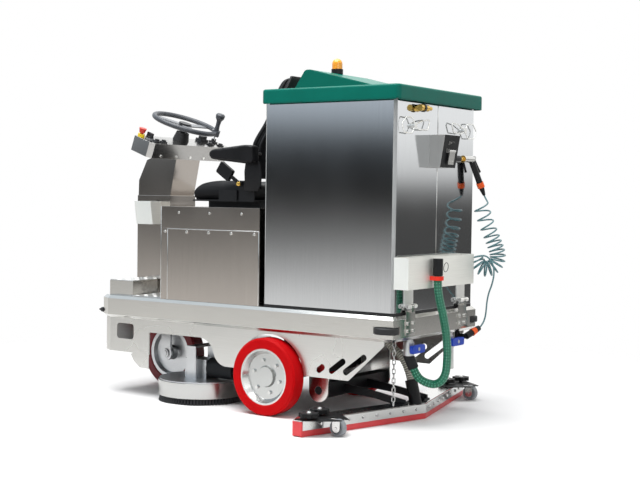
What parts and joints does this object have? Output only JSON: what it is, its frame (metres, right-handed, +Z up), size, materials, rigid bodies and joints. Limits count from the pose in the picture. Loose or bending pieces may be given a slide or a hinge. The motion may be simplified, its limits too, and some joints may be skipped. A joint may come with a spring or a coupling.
{
  "type": "ride-on floor scrubber",
  "caption": "Ride-on floor scrubber with stainless tank, seat and steering console, disc brush deck, red wheels, swept squeegee, drain hose and spray gun on a curly hose.",
  "frame": {"origin": "on the floor, under the middle of the machine's length and width", "axes": "+X forward, +Y to the driver's left, +Z up"},
  "size_m": [2.0267, 1.476, 1.7215],
  "materials": {
    "stainless": "brushed stainless sheet",
    "mirror_stainless": "polished stainless sheet",
    "frame_steel": "dark satin paint",
    "bright_steel": "bare steel",
    "lid_green": "glossy green gel coat",
    "hose_green": "green ribbed hose",
    "curl_teal": "translucent grey green tube",
    "tyre_red": "solid red tyre",
    "wheel_white": "pale grey paint",
    "blade_red": "red blade",
    "black_plastic": "moulded black",
    "black_rubber": "black rubber",
    "seat_black": "black synthetic leather",
    "grey_plastic": "grey moulded",
    "handle_blue": "blue handle",
    "estop_red": "red button",
    "amber": "amber lens",
    "orange": "orange fitting",
    "brass": "brass",
    "aluminium": "cast aluminium",
    "battery_case": "battery case",
    "bristle": "nylon bristle"
  },
  "bodies": {
    "chassis": {"chassis_frame": "frame_steel", "chassis_band": "stainless", "side_skirts": "stainless", "checker_plates": "aluminium", "rubber_buffers": "black_rubber", "rear_axle": "frame_steel", "seat_box": "stainless", "battery_blocks": "battery_case", "panel_fasteners": "bright_steel", "steering_column": "stainless", "console_housing": "stainless", "console_fittings": "black_plastic", "seat_base": "black_plastic", "seat_cushion": "seat_black", "water_valves": "grey_plastic", "hose_ends": "black_plastic"},
    "tank": {"tank_shell": "mirror_stainless", "tank_tray": "mirror_stainless", "rear_fittings": "bright_steel", "latch_box": "stainless", "spray_gun": "black_plastic", "hose_clip": "black_plastic", "drain_cuff": "black_plastic", "drain_hose": "hose_green", "curly_hose": "curl_teal"},
    "lid": {"tank_lid": "lid_green", "vacuum_motor": "grey_plastic", "beacon": "amber"},
    "brush_deck": {"deck_frame": "bright_steel", "brush_shrouds": "bright_steel", "brush_drives": "grey_plastic"},
    "brush_left": {"brush_left": "bristle"},
    "brush_right": {"brush_right": "bristle"},
    "squeegee": {"squeegee_body": "bright_steel", "squeegee_blades": "blade_red", "squeegee_fittings": "black_plastic", "squeegee_arm": "bright_steel", "suction_hose": "black_rubber", "lift_chain": "bright_steel"},
    "caster_left": {"caster_left": "grey_plastic"},
    "caster_right": {"caster_right": "grey_plastic"},
    "steering_wheel": {"steering_wheel": "black_plastic"},
    "spinner_knob": {"spinner_knob": "black_plastic"},
    "drive_fork": {"drive_fork": "bright_steel"},
    "drive_wheel": {"drive_wheel": "tyre_red"},
    "rear_wheel_left": {"rear_wheel_left": "tyre_red"},
    "rear_wheel_right": {"rear_wheel_right": "tyre_red"},
    "corner_roller_left": {"corner_roller_left": "black_rubber"},
    "corner_roller_right": {"corner_roller_right": "black_rubber"},
    "backrest": {"backrest": "seat_black"},
    "armrest_left": {"armrest_left": "seat_black"},
    "armrest_right": {"armrest_right": "seat_black"},
    "belt_buckle": {"belt_buckle": "black_plastic"},
    "estop_button": {"estop_button": "estop_red"},
    "speed_knob": {"speed_knob": "black_plastic"},
    "direction_lever": {"direction_lever": "black_plastic"},
    "latch_lever": {"latch_lever": "bright_steel"},
    "gun_trigger": {"gun_trigger": "black_plastic"},
    "valve_handle_left": {"valve_handle_left": "handle_blue"},
    "valve_handle_right": {"valve_handle_right": "handle_blue"}
  },
  "joints": [
    {"name": "tank_tilt", "type": "hinge", "parent": "chassis", "child": "tank", "pos_m": [-0.877, 0, 0.553], "axis": [0, -1, 0], "range_deg": [0, 30], "deforming": ["drain_hose", "curly_hose"]},
    {"name": "lid_open", "type": "hinge", "parent": "tank", "child": "lid", "pos_m": [-0.115, 0, 1.4905], "axis": [0, 1, 0], "range_deg": [0, 40]},
    {"name": "deck_lift", "type": "slide", "parent": "chassis", "child": "brush_deck", "axis": [0, 0, 1], "range_m": [0, 0.06]},
    {"name": "brush_left_spin", "type": "hinge", "parent": "brush_deck", "child": "brush_left", "pos_m": [0.368, 0.229, 0.107], "axis": [0, 0, 1], "continuous": true},
    {"name": "brush_right_spin", "type": "hinge", "parent": "brush_deck", "child": "brush_right", "pos_m": [0.368, -0.229, 0.107], "axis": [0, 0, 1], "continuous": true},
    {"name": "squeegee_lift", "type": "hinge", "parent": "chassis", "child": "squeegee", "pos_m": [-0.394, 0, 0.125], "axis": [0, 1, 0], "range_deg": [0, 12], "deforming": ["suction_hose", "lift_chain"]},
    {"name": "caster_left_spin", "type": "hinge", "parent": "squeegee", "child": "caster_left", "pos_m": [-0.732, 0.612, 0.038], "axis": [0, 1, 0], "continuous": true},
    {"name": "caster_right_spin", "type": "hinge", "parent": "squeegee", "child": "caster_right", "pos_m": [-0.732, -0.612, 0.038], "axis": [0, 1, 0], "continuous": true},
    {"name": "steering_turn", "type": "hinge", "parent": "chassis", "child": "steering_wheel", "pos_m": [0.69546, 0, 1.42388], "axis": [-0.342, 0, 0.9397], "range_deg": [-180, 180]},
    {"name": "spinner_turn", "type": "hinge", "parent": "steering_wheel", "child": "spinner_knob", "pos_m": [0.56303, -0.09506, 1.37568], "axis": [-0.342, 0, 0.9397], "continuous": true},
    {"name": "drive_steer", "type": "hinge", "parent": "chassis", "child": "drive_fork", "pos_m": [0.76, 0, 0.405], "axis": [0, 0, 1], "range_deg": [-60, 60]},
    {"name": "drive_spin", "type": "hinge", "parent": "drive_fork", "child": "drive_wheel", "pos_m": [0.76, 0, 0.185], "axis": [0, 1, 0], "continuous": true},
    {"name": "rear_wheel_left_spin", "type": "hinge", "parent": "chassis", "child": "rear_wheel_left", "pos_m": [-0.176, 0.3895, 0.185], "axis": [0, 1, 0], "continuous": true},
    {"name": "rear_wheel_right_spin", "type": "hinge", "parent": "chassis", "child": "rear_wheel_right", "pos_m": [-0.176, -0.3895, 0.185], "axis": [0, 1, 0], "continuous": true},
    {"name": "corner_roller_left_spin", "type": "hinge", "parent": "chassis", "child": "corner_roller_left", "pos_m": [-0.824, 0.375, 0.448], "axis": [0, 0, 1], "continuous": true},
    {"name": "corner_roller_right_spin", "type": "hinge", "parent": "chassis", "child": "corner_roller_right", "pos_m": [-0.824, -0.375, 0.448], "axis": [0, 0, 1], "continuous": true},
    {"name": "backrest_fold", "type": "hinge", "parent": "chassis", "child": "backrest", "pos_m": [0.06, 0, 1.08], "axis": [0, 1, 0], "range_deg": [0, 30]},
    {"name": "armrest_left_raise", "type": "hinge", "parent": "backrest", "child": "armrest_left", "pos_m": [0.01, 0.275, 1.248], "axis": [0, -1, 0], "range_deg": [0, 95]},
    {"name": "armrest_right_raise", "type": "hinge", "parent": "backrest", "child": "armrest_right", "pos_m": [0.01, -0.275, 1.248], "axis": [0, -1, 0], "range_deg": [0, 95]},
    {"name": "buckle_swing", "type": "hinge", "parent": "chassis", "child": "belt_buckle", "pos_m": [0.108, 0.263, 1.1], "axis": [0, 1, 0], "range_deg": [-20, 28]},
    {"name": "estop_press", "type": "slide", "parent": "chassis", "child": "estop_button", "axis": [0.342, 0, -0.9397], "range_m": [0, 0.004], "stiffness_N_per_m": 800, "springref_m": -0.004},
    {"name": "speed_turn", "type": "hinge", "parent": "chassis", "child": "speed_knob", "pos_m": [0.7113, 0.266, 1.33068], "axis": [-0.342, 0, 0.9397], "range_deg": [-135, 135]},
    {"name": "direction_shift", "type": "hinge", "parent": "chassis", "child": "direction_lever", "pos_m": [0.71804, -0.267, 1.35016], "axis": [0, 1, 0], "range_deg": [-15, 15]},
    {"name": "latch_release", "type": "hinge", "parent": "tank", "child": "latch_lever", "pos_m": [-0.93488, 0, 1.26152], "axis": [0, 1, 0], "range_deg": [0, 95]},
    {"name": "trigger_pull", "type": "hinge", "parent": "tank", "child": "gun_trigger", "pos_m": [-0.888, -0.302, 1.242], "axis": [1, 0, 0], "range_deg": [0, 9], "stiffness_Nm_per_rad": 0.6, "springref_deg": -8.59},
    {"name": "valve_left_turn", "type": "hinge", "parent": "chassis", "child": "valve_handle_left", "pos_m": [-0.831, 0.188, 0.354], "axis": [1, 0, 0], "range_deg": [0, 90]},
    {"name": "valve_right_turn", "type": "hinge", "parent": "chassis", "child": "valve_handle_right", "pos_m": [-0.831, -0.19, 0.354], "axis": [1, 0, 0], "range_deg": [0, 90]}
  ],
  "couplings": [
    {"joint": "drive_steer", "follows": "steering_turn", "ratio": 0.33333}
  ]
}
